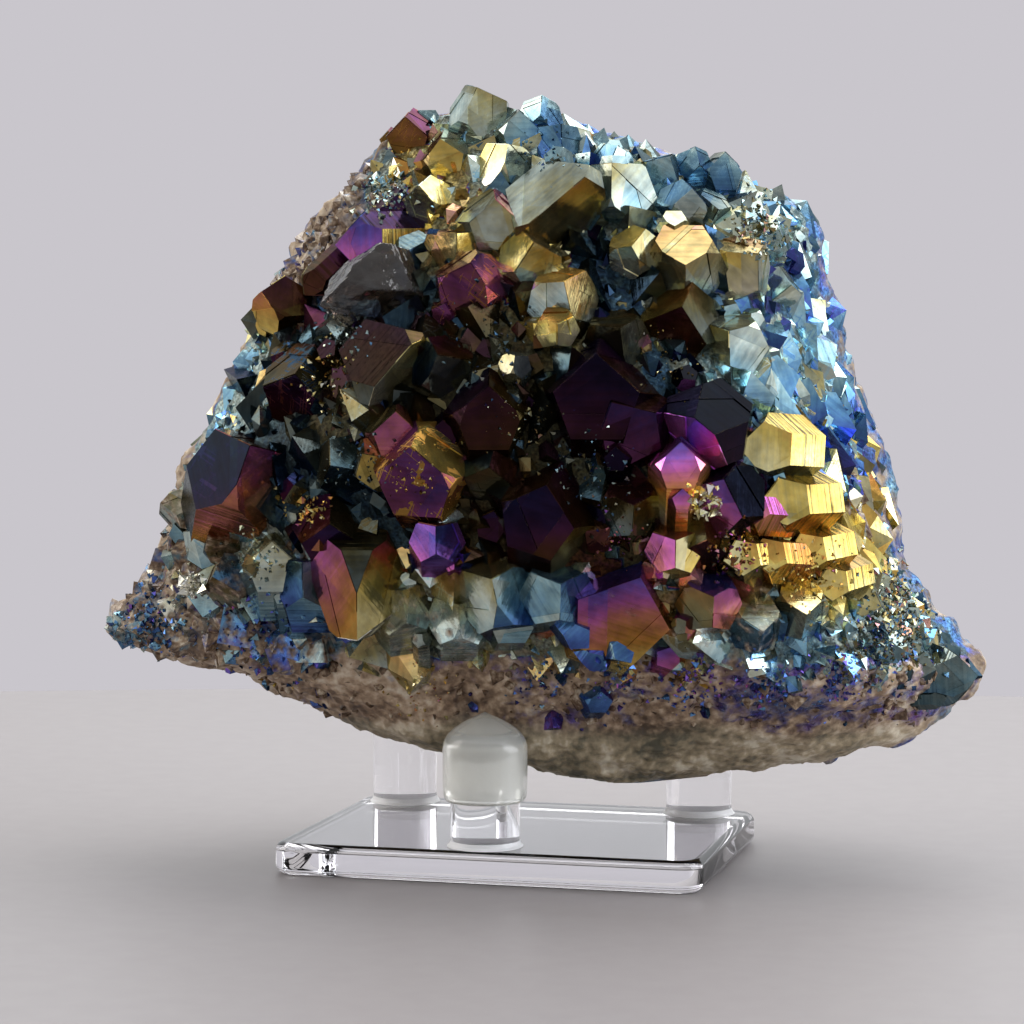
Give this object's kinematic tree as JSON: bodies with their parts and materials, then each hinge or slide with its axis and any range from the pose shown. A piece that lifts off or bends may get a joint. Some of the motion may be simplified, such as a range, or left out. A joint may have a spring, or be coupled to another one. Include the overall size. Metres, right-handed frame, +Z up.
{
  "type": "aura quartz cluster on display stand",
  "caption": "Metal-coated quartz crystal cluster resting on a clear acrylic stand with capped round pegs.",
  "frame": {"origin": "middle of the plate's underside", "axes": "+Z up, +X along the plate's long edge, -Y towards the plate's front edge, where the single front peg stands"},
  "size_m": [0.1216, 0.0751, 0.1082],
  "materials": {
    "coated_quartz": "quartz crystals with a thin iridescent metal coating on fine brown matrix",
    "clear_acrylic": "clear, polished, rounded edges",
    "milky_silicone": "milky translucent, satin"
  },
  "bodies": {
    "root": {"aura_quartz_cluster": "coated_quartz", "stand_base": "clear_acrylic", "peg_front": "clear_acrylic", "peg_back_left": "clear_acrylic", "peg_back_right": "clear_acrylic", "cap_front": "milky_silicone", "cap_back_left": "milky_silicone", "cap_back_right": "milky_silicone"}
  },
  "joints": []
}
